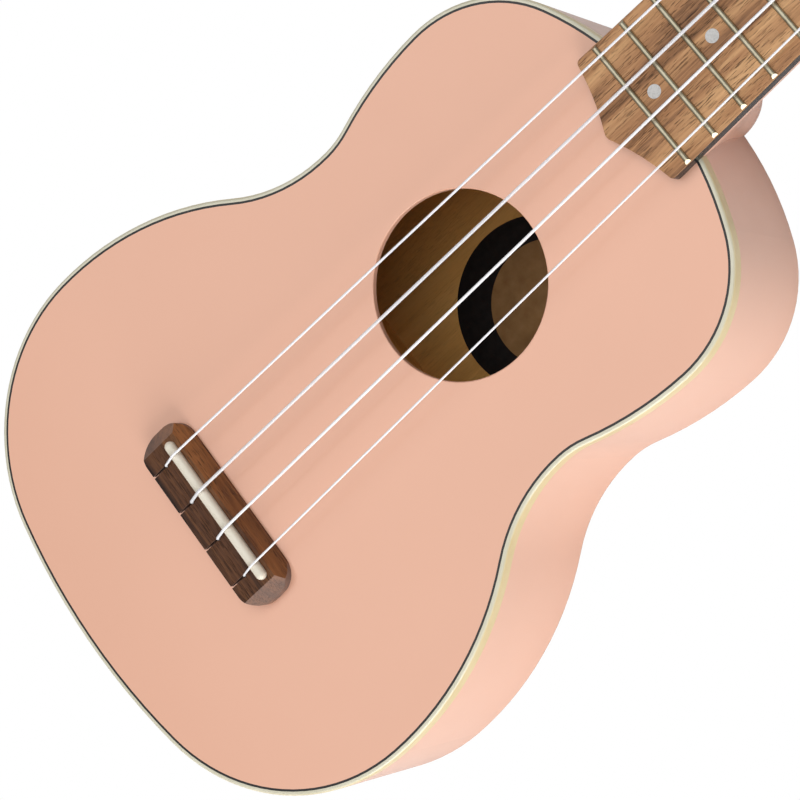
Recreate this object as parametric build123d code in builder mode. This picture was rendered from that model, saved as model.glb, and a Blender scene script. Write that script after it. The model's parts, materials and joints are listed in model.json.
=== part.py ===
"""Soprano ukulele lying on its flat back, millimetres, +Z up, neck along +Y.

The origin is on the flat back, at the middle of the body's length and width.
"""
import math
import os

from build123d import *

# ---------------------------------------------------------------- body outline
lower_bout_width = 182.0
waist_width = 117.0
upper_bout_width = 130.4
tail_to_lower_bout = 63.6
lower_bout_to_waist = 94.7
waist_to_upper_bout = 42.8
upper_bout_to_head = 44.6
lower_bout_tail_radius = 60.6
lower_bout_waist_radius = 101.8
upper_bout_waist_radius = 112.0
upper_bout_head_radius = 39.0

# ------------------------------------------------------------------- box walls
body_depth = 57.5
soundboard_thickness = 2.0
back_thickness = 2.8
back_edge_radius = 2.5
side_thickness = 2.0
binding_width = 1.3
binding_height = 4.8
binding_edge_radius = 0.9
purfling_width = 0.7
soundhole_diameter = 55.2
soundhole_from_tail = 165.9
soundhole_edge_radius = 0.4
lining_width = 4.5
lining_height = 8.0
kerf_width = 1.0
kerf_spacing = 9.0
kerf_web = 1.2
kerf_overrun = 1.0
tail_block_width = 60.0
tail_block_depth = 12.0
neck_block_width = 54.0
neck_block_depth = 22.0

# ---------------------------------------------------------------------- braces
brace_width = 6.0
brace_height = 10.0
brace_end_taper = 18.0
brace_tip_height = 4.0
brace_edge_radius = 2.0
brace_from_soundhole = 10.0
brace_end_gap = 0.5
bridge_plate_length = 76.0
bridge_plate_width = 34.0
bridge_plate_thickness = 2.0
back_brace_width = 8.0
back_brace_height = 9.0
back_brace_upper_from_tail = 203.0
back_brace_lower_from_tail = 117.5
label_diameter = 54.0
label_from_centreline = 2.8
label_behind_soundhole = 1.7
label_thickness = 0.2

# ------------------------------------------------------- scale, board and nut
scale_length = 346.0
fret_count = 12
fret_12_from_tail = 240.5
saddle_compensation = 3.1
board_thickness = 4.0
board_width_at_nut = 35.0
board_width_at_fret_12 = 43.9
board_corner_beyond_fret_12 = 6.5
board_tip_beyond_corner = 7.1
board_tip_radius = 3.0
board_corner_radius = 1.5
board_end_hollow = 0.85
board_edge_radius = 0.3
fret_crown_width = 1.8
fret_crown_height = 0.95
fret_tang_width = 0.5
fret_tang_depth = 1.6
fret_tang_inset = 1.5
fret_end_bevel = 0.8
fret_slot_clearance = 0.05
marker_diameter = 4.0
marker_depth = 1.2
marker_clearance = 0.02
marker_frets = (5, 7, 10, 12)
nut_length = 5.0
nut_height = 6.2
nut_edge_radius = 1.2
nut_slot_depth = 0.8
nut_slot_clearance = 0.08

# -------------------------------------------------------------- bridge, saddle
bridge_length = 63.4
bridge_width = 17.6
bridge_height = 5.2
bridge_corner_radius = 7.2
bridge_facet_length = 4.4
bridge_end_height = 2.4
bridge_front_slope = 3.8
bridge_rear_beyond_saddle = 10.65
saddle_length = 52.0
saddle_thickness = 3.4
saddle_above_board = 7.2
saddle_slot_depth = 3.2
saddle_slot_clearance = 0.02
saddle_crown_radius = 1.6
string_slot_width = 0.75
string_slot_length = 6.4
string_hole_diameter = 1.3
knot_bore_diameter = 3.0
knot_bore_height = 2.0
knot_bore_length = 6.4
knot_diameter = 2.4

# --------------------------------------------------------------------- strings
string_names = ("g", "c", "e", "a")
string_diameters = (0.75, 1.0, 0.9, 0.65)
string_spread_at_saddle = 42.0
string_spread_at_nut = 27.5
string_bend_radius = 0.8
string_rest_gap = 0.05
saddle_rest_gap = 0.1
turns_below_hole = 2
turns_above_hole = 1
string_to_winding_gap = 0.35
winding_bore_gap = 0.05

# ------------------------------------------------------------------------ neck
neck_depth_at_nut = 13.5
neck_depth_at_heel = 16.0
neck_edge_inset = 0.15
heel_levels = (0.0, 12.0, 22.0, 34.0, 46.0)
heel_half_widths = (21.3, 18.6, 15.8, 12.8, 10.6)
heel_lengths = (70.0, 48.0, 31.0, 21.0, 15.5)
heel_end_half_width = 9.0
heel_end_length = 12.5
heel_edge_radius = 1.8
dowel_diameter = 8.0
dowel_into_block = 17.0
dowel_into_heel = 9.0
dowel_heights = (18.0, 42.0)
dowel_clearance = 0.02

# ------------------------------------------------------------------- headstock
head_angle = 12.0
head_thickness = 12.0
head_length = 96.0
head_width_low = 51.0
head_width_high = 56.0
head_neck_length = 9.0
head_shoulder_length = 21.0
head_crown_rise = 4.0
head_corner_radius = 8.0
head_shoulder_radius = 7.0
head_throat_radius = 9.0
head_edge_radius = 1.2
head_root_length = 3.0
head_scoop_length = 32.0
head_scoop_half_width = 62.0
head_scoop_depth = 15.5
head_crown_hollow = 1.2

# ---------------------------------------------------------------------- tuners
post_x = 15.5
post_rows = (33.0, 66.0)
post_diameter = 6.0
post_height = 11.5
post_waist_diameter = 4.8
post_waist_length = 5.5
post_waist_slope = 0.2
post_top_length = 3.5
post_dome_height = 0.8
post_hole_diameter = 1.6
post_stub_diameter = 3.6
post_stub_flat = 0.5
running_clearance = 0.06
fitted_clearance = 0.02
post_bore_clearance = 0.4
ferrule_flange_diameter = 9.6
ferrule_flange_height = 1.3
ferrule_edge_radius = 0.5
ferrule_sleeve_diameter = 8.0
ferrule_sleeve_length = 8.0
gear_teeth = 14
gear_module = 0.625
gear_width = 2.4
gear_hub_diameter = 6.6
tooth_thickness = 0.66
tooth_flank_slope = 0.36
tooth_addendum = 0.55
tooth_dedendum = 0.75
worm_pitch_radius = 2.2
worm_turns = 3
worm_shaft_diameter = 2.8
worm_shaft_overhang = 0.8
plate_thickness = 1.0
plate_width = 12.0
plate_corner_radius = 2.5
ear_thickness = 1.0
ear_width = 6.0
ear_below_shaft = 1.2
ear_end_gap = 0.3
worm_to_plate_gap = 0.35
gear_to_plate_gap = 0.12
gear_screw_diameter = 2.0
gear_screw_length = 6.5
gear_screw_head_diameter = 4.6
gear_screw_head_height = 1.3
button_length = 12.0
button_width = 14.0
button_neck_width = 6.6
button_neck_length = 2.0
button_shoulder_length = 5.0
button_end_taper = 0.8
button_thickness = 7.0
button_corner_radius = 4.0
button_shoulder_radius = 2.5
button_edge_radius = 2.2
button_from_head = 3.2
button_socket_depth = 7.0
plate_screw_diameter = 2.0
plate_screw_length = 8.0
plate_screw_head_diameter = 3.8
plate_screw_head_height = 1.2
plate_screw_gap = 0.4
plate_screw_inset = 2.9
screw_slot_width = 0.6
screw_slot_depth = 0.5
screw_edge_radius = 0.4

# -------------------------------------------------------------- derived places
body_length = tail_to_lower_bout + lower_bout_to_waist + waist_to_upper_bout + upper_bout_to_head
tail_y = -body_length / 2
head_y = body_length / 2
fret_12_y = tail_y + fret_12_from_tail
nut_y = fret_12_y + scale_length / 2
saddle_y = fret_12_y - scale_length / 2 - saddle_compensation
soundhole_y = tail_y + soundhole_from_tail
top_z = body_depth
board_z = top_z + board_thickness
soundboard_inset = binding_width + purfling_width
rib_top_z = top_z - soundboard_thickness
kerf_length = lining_width - kerf_web + kerf_overrun
bridge_rear_y = saddle_y - bridge_rear_beyond_saddle
bridge_front_y = bridge_rear_y + bridge_width
bridge_top_z = top_z + bridge_height
saddle_top_z = top_z + saddle_above_board
nut_top_z = top_z + nut_height
nut_rear_y = nut_y + nut_length
head_plane = Plane(
    origin=(0, nut_rear_y, top_z),
    x_dir=(1, 0, 0),
    z_dir=(0, math.sin(math.radians(head_angle)), math.cos(math.radians(head_angle))),
)
post_waist_low = post_height - post_top_length - post_waist_length
post_hole_height = post_waist_low + post_waist_length / 2
head_back = -head_thickness
plate_back = head_back - plate_thickness
gear_pitch_radius = gear_module * gear_teeth / 2
gear_tip_radius = gear_pitch_radius + tooth_addendum
gear_root_radius = gear_pitch_radius - tooth_dedendum
gear_phase = 90 + 180 / gear_teeth * ((worm_turns + 1) % 2)
worm_pitch = math.pi * gear_module
worm_tip_radius = worm_pitch_radius + tooth_addendum
worm_from_post = gear_pitch_radius + worm_pitch_radius
worm_half_length = worm_turns * worm_pitch / 2
thread_foot_radius = worm_shaft_diameter / 2 - fitted_clearance
gear_middle = plate_back - worm_to_plate_gap - worm_tip_radius
gear_top = gear_middle + gear_width / 2
gear_bottom = gear_middle - gear_width / 2
post_shoulder = plate_back - gear_to_plate_gap
ear_inner = worm_half_length + tooth_thickness + ear_end_gap
ear_outer = ear_inner + ear_thickness
low_screw_from_post = -gear_tip_radius - plate_screw_gap - plate_screw_head_diameter / 2
high_screw_from_post = (
    worm_from_post + worm_tip_radius + plate_screw_gap + plate_screw_head_diameter / 2
)


def board_width(y):
    """Width of the fingerboard at y."""
    slope = (board_width_at_nut - board_width_at_fret_12) / (nut_y - fret_12_y)
    return board_width_at_fret_12 + slope * (y - fret_12_y)


def fret_y(number):
    """Place of a fret on the scale, counted from the nut."""
    return nut_y - scale_length * (1 - 2 ** (-number / 12))


def bearing(start, end):
    """Direction of the line from start to end, in degrees."""
    return math.degrees(math.atan2(end[1] - start[1], end[0] - start[0]))


def outline_arcs():
    """Tangent arcs of the right half, tail to head: centre, radius, start, end, side."""
    lower_y = tail_y + tail_to_lower_bout
    waist_y = lower_y + lower_bout_to_waist
    upper_y = waist_y + waist_to_upper_bout
    lower = lower_bout_width / 2
    waist = waist_width / 2
    upper = upper_bout_width / 2
    low_sum = ((lower - waist) ** 2 + lower_bout_to_waist**2) / (2 * (lower - waist))
    high_sum = ((upper - waist) ** 2 + waist_to_upper_bout**2) / (2 * (upper - waist))
    waist_low_radius = low_sum - lower_bout_waist_radius
    waist_high_radius = high_sum - upper_bout_waist_radius
    low_tail = (lower - lower_bout_tail_radius, lower_y)
    low_waist = (lower - lower_bout_waist_radius, lower_y)
    waist_low = (waist + waist_low_radius, waist_y)
    waist_high = (waist + waist_high_radius, waist_y)
    high_waist = (upper - upper_bout_waist_radius, upper_y)
    high_head = (upper - upper_bout_head_radius, upper_y)
    tail_radius = cap_radius(low_tail[0], tail_to_lower_bout, lower_bout_tail_radius)
    head_radius = cap_radius(high_head[0], upper_bout_to_head, upper_bout_head_radius)
    tail = (0, tail_y + tail_radius)
    head = (0, head_y - head_radius)
    turn_1 = bearing(tail, low_tail)
    turn_2 = bearing(low_waist, waist_low)
    turn_3 = bearing(high_waist, waist_high)
    turn_4 = bearing(head, high_head)
    return (
        (tail, tail_radius, -90, turn_1, 1),
        (low_tail, lower_bout_tail_radius, turn_1, 0, 1),
        (low_waist, lower_bout_waist_radius, 0, turn_2, 1),
        (waist_low, waist_low_radius, turn_2 + 180, 180, -1),
        (waist_high, waist_high_radius, 180, turn_3 + 180, -1),
        (high_waist, upper_bout_waist_radius, turn_3, 0, 1),
        (high_head, upper_bout_head_radius, 0, turn_4, 1),
        (head, head_radius, turn_4, 90, 1),
    )


def cap_radius(centre_x, reach, bout_radius):
    """Radius of the end arc that crosses the centreline square and meets the bout."""
    return (centre_x**2 + reach**2 - bout_radius**2) / (2 * (reach - bout_radius))


def half_width(y, inset):
    """Half the body's width at y, inside the outline moved inwards by inset."""
    for centre, radius, start, end, side in outline_arcs():
        run_radius = radius - side * inset
        low = centre[1] + run_radius * math.sin(math.radians(start))
        high = centre[1] + run_radius * math.sin(math.radians(end))
        if low <= y <= high:
            return centre[0] + side * math.sqrt(run_radius**2 - (y - centre[1]) ** 2)
    return 0


def body_face(inset, z):
    """Face bounded by the body outline moved inwards by inset, at height z."""
    with BuildSketch(Plane.XY.offset(z)) as face:
        with BuildLine():
            for centre, radius, start, end, side in outline_arcs():
                CenterArc(centre, radius - side * inset, start, end - start)
            mirror(about=Plane.YZ)
        make_face()
    return face.sketch


def body_prism(inset, z_low, z_high):
    """Solid inside the body outline moved inwards by inset, between two heights."""
    with BuildPart(mode=Mode.PRIVATE) as prism:
        add(body_face(inset, z_low))
        extrude(amount=z_high - z_low)
    return prism.part


def save(builder, name):
    """Label the finished piece and write it to its own file."""
    builder.part.label = name
    export_step(builder.part, f"parts/{name}.step")


os.makedirs("parts", exist_ok=True)

# ------------------------------------------------------------------ soundboard
with BuildPart() as soundboard:
    add(body_face(soundboard_inset, rib_top_z))
    extrude(amount=soundboard_thickness)
    with BuildSketch(Plane.XY.offset(rib_top_z)):
        with Locations((0, soundhole_y)):
            Circle(soundhole_diameter / 2)
    extrude(amount=soundboard_thickness, mode=Mode.SUBTRACT)
    top_circles = soundboard.edges().filter_by(GeomType.CIRCLE).group_by(Axis.Z)[-1]
    rim = top_circles.filter_by(lambda edge: abs(edge.radius - soundhole_diameter / 2) < 0.01)
    fillet(rim, soundhole_edge_radius)
save(soundboard, "soundboard")

# ------------------------------------------------------------------------ back
with BuildPart() as back:
    add(body_face(0, 0))
    extrude(amount=back_thickness)
    fillet(back.edges().group_by(Axis.Z)[0], min(back_edge_radius, back_thickness - 0.2))
save(back, "back")

# --------------------------------------------------------- binding and purfling
with BuildPart() as top_binding:
    add(body_face(0, top_z - binding_height))
    extrude(amount=binding_height)
    fillet(top_binding.edges().group_by(Axis.Z)[-1], binding_edge_radius)
    add(body_prism(binding_width, top_z - binding_height, top_z), mode=Mode.SUBTRACT)
save(top_binding, "top_binding")

with BuildPart() as purfling:
    add(body_prism(binding_width, rib_top_z, top_z))
    add(body_prism(soundboard_inset, rib_top_z, top_z), mode=Mode.SUBTRACT)
save(purfling, "purfling")

# ---------------------------------------------------------- blocks and dowels
dowel_start_y = head_y - side_thickness - dowel_into_block
dowel_length = side_thickness + dowel_into_block + dowel_into_heel


def dowel_bores():
    """Bores for the neck dowels, from the neck block through the ribs into the heel."""
    with BuildPart(mode=Mode.PRIVATE) as bores:
        for height in dowel_heights:
            with BuildSketch(Plane.XZ.offset(-dowel_start_y)):
                with Locations((0, height)):
                    Circle(dowel_diameter / 2 + dowel_clearance)
        extrude(amount=-dowel_length)
    return bores.part


def block_space(width, near_y, far_y):
    """Part of the body's cavity that a block fills, between two places on its length."""
    with BuildPart(mode=Mode.PRIVATE) as space:
        add(body_prism(side_thickness, back_thickness, rib_top_z))
        with BuildSketch(Plane.XY.offset(back_thickness)):
            with Locations((0, (near_y + far_y) / 2)):
                Rectangle(width, abs(far_y - near_y))
        extrude(amount=rib_top_z - back_thickness, mode=Mode.INTERSECT)
    return space.part


neck_block_y = head_y - side_thickness - neck_block_depth
tail_block_y = tail_y + side_thickness + tail_block_depth

with BuildPart() as neck_block:
    add(block_space(neck_block_width, neck_block_y, head_y))
    add(dowel_bores(), mode=Mode.SUBTRACT)
save(neck_block, "neck_block")

with BuildPart() as tail_block:
    add(block_space(tail_block_width, tail_y, tail_block_y))
save(tail_block, "tail_block")

with BuildPart() as neck_dowels:
    for height in dowel_heights:
        with BuildSketch(Plane.XZ.offset(-dowel_start_y)):
            with Locations((0, height)):
                Circle(dowel_diameter / 2)
    extrude(amount=-dowel_length)
save(neck_dowels, "neck_dowels")

# ------------------------------------------------------------------------ ribs
with BuildPart() as rib_ring:
    add(body_prism(0, back_thickness, rib_top_z))
    add(body_prism(side_thickness, back_thickness, rib_top_z), mode=Mode.SUBTRACT)
    add(top_binding.part, mode=Mode.SUBTRACT)
    add(body_prism(0, top_z - binding_edge_radius, top_z), mode=Mode.SUBTRACT)
    add(dowel_bores(), mode=Mode.SUBTRACT)

for side_name, kept in (("left", Keep.BOTTOM), ("right", Keep.TOP)):
    with BuildPart() as side:
        add(rib_ring.part)
        split(bisect_by=Plane.YZ, keep=kept)
    save(side, f"side_{side_name}")

# --------------------------------------------------------------------- linings


def kerf_places(inset):
    """Kerf cuts along the right half of the outline, square to it, at even spacing."""
    places = []
    middle_inset = inset + kerf_web + kerf_length / 2
    for centre, radius, start, end, side in outline_arcs():
        run_radius = radius - side * inset
        count = int(math.radians(abs(end - start)) * run_radius / kerf_spacing)
        for number in range(count):
            angle = start + (end - start) * (number + 0.5) / count
            reach = radius - side * middle_inset
            x = centre[0] + reach * math.cos(math.radians(angle))
            y = centre[1] + reach * math.sin(math.radians(angle))
            if x > max(neck_block_width, tail_block_width) / 2 + kerf_length:
                places.append(Location((x, y, 0), (0, 0, angle)))
    return places


def lining(z_low):
    """Right-hand kerfed lining strip standing on height z_low, clear of the blocks."""
    with BuildPart(mode=Mode.PRIVATE) as strip:
        with BuildSketch(Plane.XY.offset(z_low)):
            add(body_face(side_thickness, 0))
            add(body_face(side_thickness + lining_width, 0), mode=Mode.SUBTRACT)
            with Locations((-lower_bout_width / 2, 0)):
                Rectangle(lower_bout_width, 2 * body_length, mode=Mode.SUBTRACT)
            with Locations((0, head_y)):
                Rectangle(neck_block_width, 2 * (head_y - neck_block_y), mode=Mode.SUBTRACT)
            with Locations((0, tail_y)):
                Rectangle(tail_block_width, 2 * (tail_block_y - tail_y), mode=Mode.SUBTRACT)
            with Locations(kerf_places(side_thickness)):
                Rectangle(kerf_length, kerf_width, mode=Mode.SUBTRACT)
        extrude(amount=lining_height)
    return strip.part


for level_name, z_low in (("top", rib_top_z - lining_height), ("back", back_thickness)):
    right_strip = lining(z_low)
    with BuildPart() as lining_right:
        add(right_strip)
    save(lining_right, f"lining_{level_name}_right")
    with BuildPart() as lining_left:
        add(right_strip.mirror(Plane.YZ))
    save(lining_left, f"lining_{level_name}_left")

# ---------------------------------------------------------------------- braces
brace_zone_inset = side_thickness + lining_width + brace_end_gap
brace_zone = body_prism(brace_zone_inset, 0, body_depth)


def brace(y, plate_z, up, width, height):
    """Bar glued to a plate at height plate_z, its free edge rounded and its ends tapered."""
    reach = half_width(y, brace_zone_inset)
    tip = plate_z + up * brace_tip_height
    crest = plate_z + up * height
    with BuildPart(mode=Mode.PRIVATE) as bar:
        with BuildSketch(Plane.XZ.offset(-y)):
            with BuildLine():
                Polyline(
                    (-reach, plate_z),
                    (-reach, tip),
                    (-reach + brace_end_taper, crest),
                    (reach - brace_end_taper, crest),
                    (reach, tip),
                    (reach, plate_z),
                    close=True,
                )
            make_face()
        extrude(amount=width / 2, both=True)
        crest_edges = bar.edges().filter_by(Axis.X).filter_by_position(Axis.Z, crest - 0.1, crest + 0.1)
        fillet(crest_edges, brace_edge_radius)
        add(brace_zone, mode=Mode.INTERSECT)
    return bar.part


soundhole_radius = soundhole_diameter / 2
brace_offset = soundhole_radius + brace_from_soundhole + brace_width / 2
for brace_name, brace_y in (
    ("upper", soundhole_y + brace_offset),
    ("lower", soundhole_y - brace_offset),
):
    with BuildPart() as top_brace:
        add(brace(brace_y, rib_top_z, -1, brace_width, brace_height))
    save(top_brace, f"soundboard_brace_{brace_name}")

for brace_name, from_tail in (
    ("upper", back_brace_upper_from_tail),
    ("lower", back_brace_lower_from_tail),
):
    with BuildPart() as back_brace:
        add(brace(tail_y + from_tail, back_thickness, 1, back_brace_width, back_brace_height))
    save(back_brace, f"back_brace_{brace_name}")

bridge_middle_y = (bridge_rear_y + bridge_front_y) / 2
with BuildPart() as bridge_plate:
    with BuildSketch(Plane.XY.offset(rib_top_z)):
        with Locations((0, bridge_middle_y)):
            RectangleRounded(bridge_plate_length, bridge_plate_width, 3)
    extrude(amount=-bridge_plate_thickness)
    chamfer(bridge_plate.edges().group_by(Axis.Z)[0], 0.8)
save(bridge_plate, "bridge_plate")

with BuildPart() as label:
    with BuildSketch(Plane.XY.offset(back_thickness)):
        with Locations((label_from_centreline, soundhole_y - label_behind_soundhole)):
            Circle(label_diameter / 2)
    extrude(amount=label_thickness)
save(label, "blank_label")

# ----------------------------------------------------------------- fingerboard
board_corner_y = fret_12_y - board_corner_beyond_fret_12
board_tip_y = board_corner_y - board_tip_beyond_corner


def board_face(z):
    """Plan of the fingerboard: tapered sides and an end of two hollow arcs and a tip."""
    corner = board_width(board_corner_y) / 2
    nut_half = board_width_at_nut / 2
    with BuildSketch(Plane.XY.offset(z)) as face:
        with BuildLine():
            Line((0, board_tip_y), (0, nut_y))
            Line((0, nut_y), (nut_half, nut_y))
            Line((nut_half, nut_y), (corner, board_corner_y))
            SagittaArc((corner, board_corner_y), (0, board_tip_y), -board_end_hollow)
        make_face()
        mirror(about=Plane.YZ)
        tips = face.vertices().filter_by_position(Axis.Y, board_tip_y - 0.1, board_corner_y + 0.1)
        fillet(tips.sort_by(Axis.Y)[0], board_tip_radius)
        corners = face.vertices().filter_by_position(Axis.X, corner - 0.1, corner + 0.1)
        corners += face.vertices().filter_by_position(Axis.X, -corner - 0.1, -corner + 0.1)
        fillet(corners, board_corner_radius)
    return face.sketch


with BuildPart() as fingerboard:
    add(board_face(top_z))
    extrude(amount=board_thickness)
    upper_edges = fingerboard.edges().group_by(Axis.Z)[-1]
    fillet(upper_edges.filter_by(lambda edge: edge.center().Y < nut_y - 0.1), board_edge_radius)
    for number in range(1, fret_count + 1):
        slot_length = board_width(fret_y(number)) - 2 * fret_tang_inset
        with BuildSketch(Plane.XY.offset(board_z)):
            with Locations((0, fret_y(number))):
                Rectangle(
                    slot_length + 2 * fret_slot_clearance,
                    fret_tang_width + 2 * fret_slot_clearance,
                )
        extrude(amount=-fret_tang_depth - fret_slot_clearance, mode=Mode.SUBTRACT)
    with BuildSketch(Plane.XY.offset(board_z)):
        for number in marker_frets:
            with Locations((0, (fret_y(number) + fret_y(number - 1)) / 2)):
                Circle(marker_diameter / 2 + marker_clearance)
    extrude(amount=-marker_depth, mode=Mode.SUBTRACT)
save(fingerboard, "fingerboard")

with BuildPart() as fret_markers:
    for number in marker_frets:
        with BuildSketch(Plane.XY.offset(board_z)):
            with Locations((0, (fret_y(number) + fret_y(number - 1)) / 2)):
                Circle(marker_diameter / 2)
    extrude(amount=-marker_depth)
save(fret_markers, "fret_markers")


def fret(number):
    """One fret: a domed crown across the board on a tang in its slot."""
    y = fret_y(number)
    width = board_width(y) - 2 * board_edge_radius
    crown = fret_crown_width / 2
    with BuildPart(mode=Mode.PRIVATE) as wire:
        with BuildSketch(Plane.YZ):
            with BuildLine():
                Line((y - crown, board_z), (y + crown, board_z))
                EllipticalCenterArc((y, board_z), crown, fret_crown_height, 0, arc_size=180)
            make_face()
        extrude(amount=width / 2, both=True)
        with BuildSketch(Plane.XZ.offset(-y)):
            with BuildLine():
                Polyline(
                    (-width / 2, board_z),
                    (width / 2, board_z),
                    (width / 2 - fret_end_bevel, board_z + fret_crown_height),
                    (-width / 2 + fret_end_bevel, board_z + fret_crown_height),
                    close=True,
                )
            make_face()
        extrude(amount=crown, both=True, mode=Mode.INTERSECT)
        with BuildSketch(Plane.XY.offset(board_z)):
            with Locations((0, y)):
                Rectangle(width - 2 * fret_tang_inset, fret_tang_width)
        extrude(amount=-fret_tang_depth)
    return wire.part


with BuildPart() as frets:
    for number in range(1, fret_count + 1):
        add(fret(number))
save(frets, "frets")

# ---------------------------------------------------------------------- bridge


def string_x(index, spread):
    """Place of a string across a spread shared out evenly, bass string first."""
    return spread * (index / (len(string_names) - 1) - 0.5)


string_hole_y = bridge_rear_y + string_slot_length - string_hole_diameter / 2
saddle_slot_z = bridge_top_z - saddle_slot_depth

with BuildPart() as bridge:
    with BuildSketch(Plane.XY.offset(top_z)):
        with Locations((0, bridge_middle_y)):
            RectangleRounded(bridge_length, bridge_width, bridge_corner_radius)
    extrude(amount=bridge_height)
    with BuildSketch(Plane.XZ):
        with BuildLine():
            Polyline(
                (bridge_length / 2 - bridge_facet_length, bridge_top_z),
                (bridge_length / 2, top_z + bridge_end_height),
                (bridge_length / 2, bridge_top_z),
                close=True,
            )
        make_face()
        mirror(about=Plane.YZ)
    extrude(amount=body_length, both=True, mode=Mode.SUBTRACT)
    with BuildSketch(Plane.YZ):
        with BuildLine():
            Polyline(
                (bridge_front_y - bridge_front_slope, bridge_top_z),
                (bridge_front_y, top_z + bridge_end_height / 2),
                (bridge_front_y, bridge_top_z),
                close=True,
            )
        make_face()
    extrude(amount=bridge_length, both=True, mode=Mode.SUBTRACT)
    with BuildSketch(Plane.XY.offset(saddle_slot_z)):
        with Locations((0, saddle_y)):
            SlotOverall(
                saddle_length + 2 * saddle_slot_clearance,
                saddle_thickness + 2 * saddle_slot_clearance,
            )
    extrude(amount=saddle_slot_depth, mode=Mode.SUBTRACT)
    for index in range(len(string_names)):
        x = string_x(index, string_spread_at_saddle)
        with BuildSketch(Plane.XZ.offset(-bridge_rear_y)):
            with Locations((x, top_z + knot_bore_height)):
                Circle(knot_bore_diameter / 2)
        extrude(amount=-knot_bore_length, mode=Mode.SUBTRACT)
        with BuildSketch(Plane.XY.offset(top_z + knot_bore_height)):
            with Locations((x, bridge_rear_y + string_slot_length / 2)):
                Rectangle(string_slot_width, string_slot_length)
            with Locations((x, string_hole_y)):
                Circle(string_hole_diameter / 2)
        extrude(amount=bridge_height, mode=Mode.SUBTRACT)
save(bridge, "bridge")

with BuildPart() as saddle:
    with BuildSketch(Plane.XY.offset(saddle_slot_z)):
        with Locations((0, saddle_y)):
            SlotOverall(saddle_length, saddle_thickness)
    extrude(amount=saddle_top_z - saddle_slot_z)
    crest = saddle.edges().group_by(Axis.Z)[-1]
    fillet(crest, min(saddle_crown_radius, saddle_thickness / 2) - 0.1)
save(saddle, "saddle")

# ------------------------------------------------------------------------- nut
nut_string_z = nut_top_z - nut_slot_depth

with BuildPart() as nut:
    with BuildSketch(Plane.XY.offset(top_z)):
        with Locations((0, nut_y + nut_length / 2)):
            Rectangle(board_width_at_nut, nut_length)
    extrude(amount=nut_height)
    crest_edges = nut.edges().group_by(Axis.Z)[-1].filter_by(Axis.X)
    fillet(crest_edges, nut_edge_radius)
    for index, diameter in enumerate(string_diameters):
        nut_x = string_x(index, string_spread_at_nut)
        fan = nut_x - string_x(index, string_spread_at_saddle)
        slot_plane = Plane(
            origin=(nut_x, nut_y + nut_length / 2, nut_string_z),
            x_dir=(fan, nut_y - saddle_y, 0),
        )
        with BuildSketch(slot_plane):
            Rectangle(2 * nut_length, diameter + 2 * nut_slot_clearance)
        extrude(amount=nut_height, mode=Mode.SUBTRACT)
save(nut, "nut")

# --------------------------------------------------------------------- strings


def post_place(index):
    """Local x and y, on the headstock, of the post that takes a string."""
    side = -1 if index < len(string_names) / 2 else 1
    row = 0 if index in (0, len(string_names) - 1) else 1
    return side * post_x, post_rows[row]


def winding_radius(index):
    """Outside radius of a string's turns on the waist of its post."""
    return post_waist_diameter / 2 + string_diameters[index]


def string_points(index):
    """Corners of a string's route: knot, rise, bridge lip, saddle, nut and post."""
    x = string_x(index, string_spread_at_saddle)
    nut_x = string_x(index, string_spread_at_nut)
    radius = string_diameters[index] / 2
    lift = radius + string_rest_gap
    post_side_x, post_y = post_place(index)
    side = math.copysign(1, post_side_x)
    outer = winding_radius(index)
    clear_run = math.sqrt(outer**2 - (outer - 2 * radius) ** 2) + string_to_winding_gap
    post_end = head_plane.from_local_coords(
        Vector(
            post_side_x - side * (outer - radius),
            post_y - clear_run,
            post_hole_height - 2 * radius * turns_below_hole,
        )
    )
    return (
        (x, bridge_rear_y + knot_diameter, top_z + knot_bore_height),
        (x, string_hole_y, top_z + knot_bore_height + knot_diameter / 4),
        (x, string_hole_y, bridge_top_z + lift),
        (x, saddle_y, saddle_top_z + lift + saddle_rest_gap),
        (nut_x, nut_rear_y + string_rest_gap, nut_string_z + lift),
        (post_end.X, post_end.Y, post_end.Z),
    )


for index, name in enumerate(string_names):
    points = string_points(index)
    bends = (string_bend_radius / 2, string_bend_radius, string_bend_radius, string_bend_radius)
    with BuildPart() as string:
        with BuildLine() as route:
            FilletPolyline(*points, radius=bends)
        with BuildSketch(Plane(origin=route.line @ 0, z_dir=route.line % 0)):
            Circle(string_diameters[index] / 2)
        sweep()
        with Locations(points[0]):
            Sphere(knot_diameter / 2)
    save(string, f"string_{name}")

# ------------------------------------------------------------------------ neck


def neck_section(plane, half_width_across, depth):
    """Half-ellipse section of the neck below a flat top, on a plane across it."""
    with BuildSketch(plane) as section:
        with BuildLine():
            EllipticalCenterArc((0, 0), half_width_across, depth, 180, arc_size=180)
            Line((-half_width_across, 0), (half_width_across, 0))
        make_face()
    return section.sketch


def head_half_width(y):
    """Half width of the headstock's straight flank at local y."""
    run = head_length - head_crown_rise - head_shoulder_length
    share = (y - head_shoulder_length) / run
    return (head_width_low + share * (head_width_high - head_width_low)) / 2


def across_plane(y):
    """Plane across the headstock at local y, with its own y square to the face."""
    origin = head_plane.from_local_coords(Vector(0, y, 0))
    return Plane(origin=origin, x_dir=(1, 0, 0), z_dir=-head_plane.y_dir)


def local_place(x, y, z):
    """World place of a point given on the headstock: across, along and above its face."""
    return head_plane.from_local_coords(Vector(x, y, z))


throat_half_width = board_width_at_nut / 2 - neck_edge_inset
flank_end = head_length - head_crown_rise

with BuildPart() as throat:
    add(neck_section(across_plane(-head_root_length), throat_half_width, neck_depth_at_nut))
    add(neck_section(across_plane(head_scoop_length), head_scoop_half_width, head_scoop_depth))
    loft()

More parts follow.
